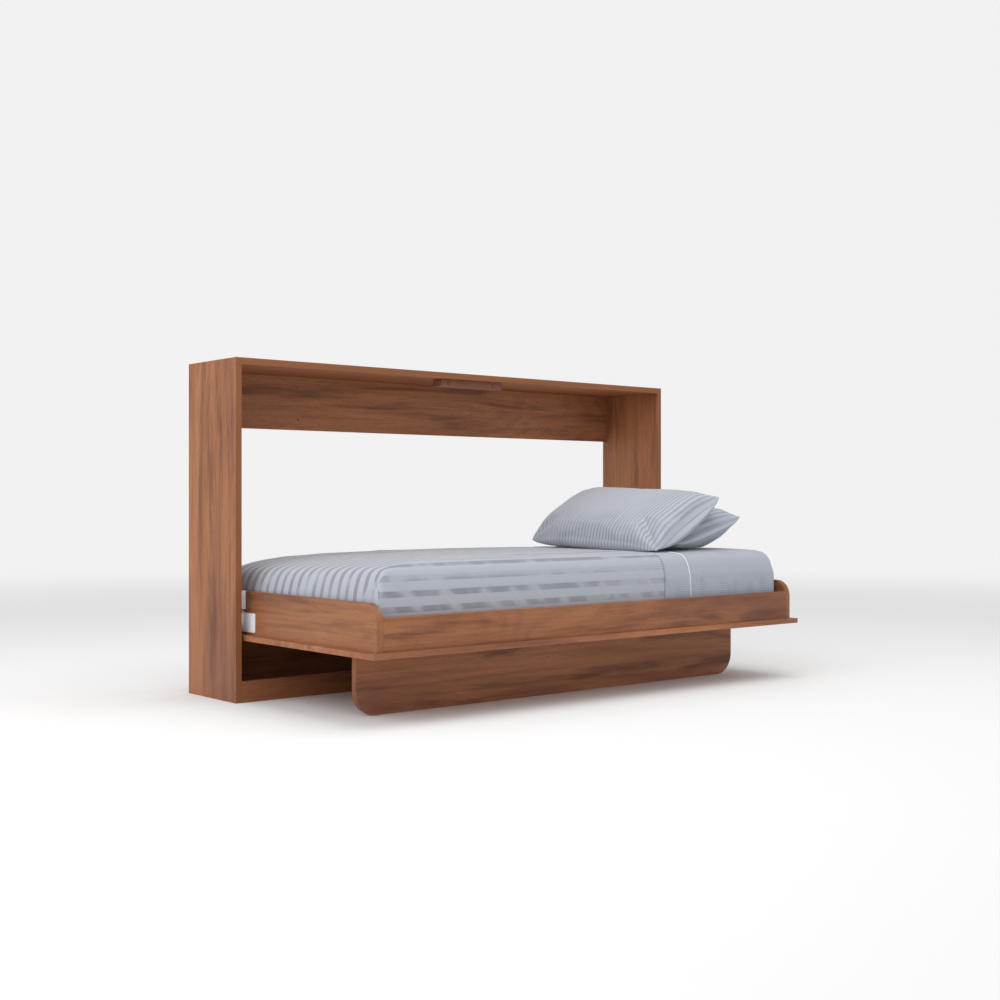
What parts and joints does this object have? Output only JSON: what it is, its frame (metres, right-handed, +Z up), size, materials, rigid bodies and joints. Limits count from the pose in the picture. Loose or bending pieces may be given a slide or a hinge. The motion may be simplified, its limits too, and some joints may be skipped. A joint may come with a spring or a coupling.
{
  "type": "wall bed",
  "caption": "Side-tilting wall bed shown lowered: open walnut cabinet, bed box with slats, made-up mattress and pillows, hinged leg panel, pivot brackets and gas springs.",
  "frame": {"origin": "on the floor, at the middle of the lowered bed's plan outline, midway between the wall and the bed's front edge", "axes": "+X along the bed to the head end, +Y to the wall, +Z up"},
  "size_m": [2.083, 1.102, 1.175],
  "materials": {
    "walnut_board": "satin",
    "pale_wood": "matte",
    "white_steel": "satin",
    "bright_steel": "satin",
    "spring_black": "satin",
    "rod_chrome": "polished",
    "bush_plastic": "matte",
    "bumper_rubber": "matte",
    "mattress_cloth": "matte",
    "fine_stripe": "satin",
    "wide_stripe": "satin",
    "pillow_stripe": "satin"
  },
  "bodies": {
    "cabinet": {"side_panel_left": "walnut_board", "side_panel_right": "walnut_board", "top_panel": "walnut_board", "upper_back_rail": "walnut_board", "lower_back_board": "walnut_board", "kick_rail": "walnut_board", "cabinet_dowels": "pale_wood", "stop_block": "walnut_board", "stop_bumpers": "bumper_rubber", "cabinet_pivot_plate_left": "white_steel", "cabinet_pivot_plate_right": "white_steel", "pivot_pin_left": "bright_steel", "pivot_pin_right": "bright_steel", "cabinet_spring_plate_left": "white_steel", "cabinet_spring_plate_right": "white_steel", "cabinet_plate_screws": "bright_steel"},
    "bed": {"face_panel": "walnut_board", "end_board_head": "walnut_board", "end_board_foot": "walnut_board", "front_rail": "walnut_board", "rear_rail": "walnut_board", "frame_dowels": "pale_wood", "slat_bearer_front": "pale_wood", "slat_bearer_rear": "pale_wood", "slat_bearer_middle": "pale_wood", "slats": "pale_wood", "slat_screws": "bright_steel", "frame_angles": "bright_steel", "frame_angle_screws": "bright_steel", "bed_pivot_bracket_left": "white_steel", "bed_pivot_bracket_right": "white_steel", "pivot_bush_left": "bush_plastic", "pivot_bush_right": "bush_plastic", "bed_spring_bracket_left": "white_steel", "bed_spring_bracket_right": "white_steel", "bed_bracket_screws": "bright_steel", "leg_hinge_fixed_leaves": "bright_steel", "leg_hinge_pins": "bright_steel", "leg_hinge_face_screws": "bright_steel", "mattress": "mattress_cloth", "fitted_sheet": "fine_stripe", "flat_sheet": "fine_stripe", "coverlet": "wide_stripe", "pillow_back": "pillow_stripe", "pillow_front": "pillow_stripe"},
    "leg": {"leg_panel": "walnut_board", "leg_hinge_moving_leaves": "bright_steel", "leg_hinge_leg_screws": "bright_steel"},
    "spring_tube_left": {"gas_cylinder_left": "spring_black", "gas_cylinder_eye_left": "bush_plastic"},
    "spring_rod_left": {"gas_rod_left": "rod_chrome", "gas_rod_socket_left": "bush_plastic"},
    "spring_tube_right": {"gas_cylinder_right": "spring_black", "gas_cylinder_eye_right": "bush_plastic"},
    "spring_rod_right": {"gas_rod_right": "rod_chrome", "gas_rod_socket_right": "bush_plastic"}
  },
  "joints": [
    {"name": "bed_fold", "type": "hinge", "parent": "cabinet", "child": "bed", "pos_m": [0, 0.296, 0.293], "axis": [-1, 0, 0], "range_deg": [0, 90], "deforming": ["pillow_back", "pillow_front"]},
    {"name": "leg_fold", "type": "hinge", "parent": "bed", "child": "leg", "pos_m": [0, -0.2745, 0.206], "axis": [1, 0, 0], "range_deg": [0, 90]},
    {"name": "spring_swing_left", "type": "hinge", "parent": "cabinet", "child": "spring_tube_left", "pos_m": [-1.0045, 0.266, 0.623], "axis": [1, 0, 0], "range_deg": [0, 4.81]},
    {"name": "spring_stroke_left", "type": "slide", "parent": "spring_tube_left", "child": "spring_rod_left", "axis": [0, 0.1626, -0.9867], "range_m": [0, 0.0793]},
    {"name": "spring_swing_right", "type": "hinge", "parent": "cabinet", "child": "spring_tube_right", "pos_m": [1.0045, 0.266, 0.623], "axis": [1, 0, 0], "range_deg": [0, 4.81]},
    {"name": "spring_stroke_right", "type": "slide", "parent": "spring_tube_right", "child": "spring_rod_right", "axis": [0, 0.1626, -0.9867], "range_m": [0, 0.0793]}
  ],
  "couplings": [
    {"joint": "spring_swing_left", "follows": "bed_fold", "ratio": 0.053258},
    {"joint": "spring_stroke_left", "follows": "bed_fold", "m_per_rad": 0.050367},
    {"joint": "spring_swing_right", "follows": "bed_fold", "ratio": 0.053258},
    {"joint": "spring_stroke_right", "follows": "bed_fold", "m_per_rad": 0.050367}
  ]
}
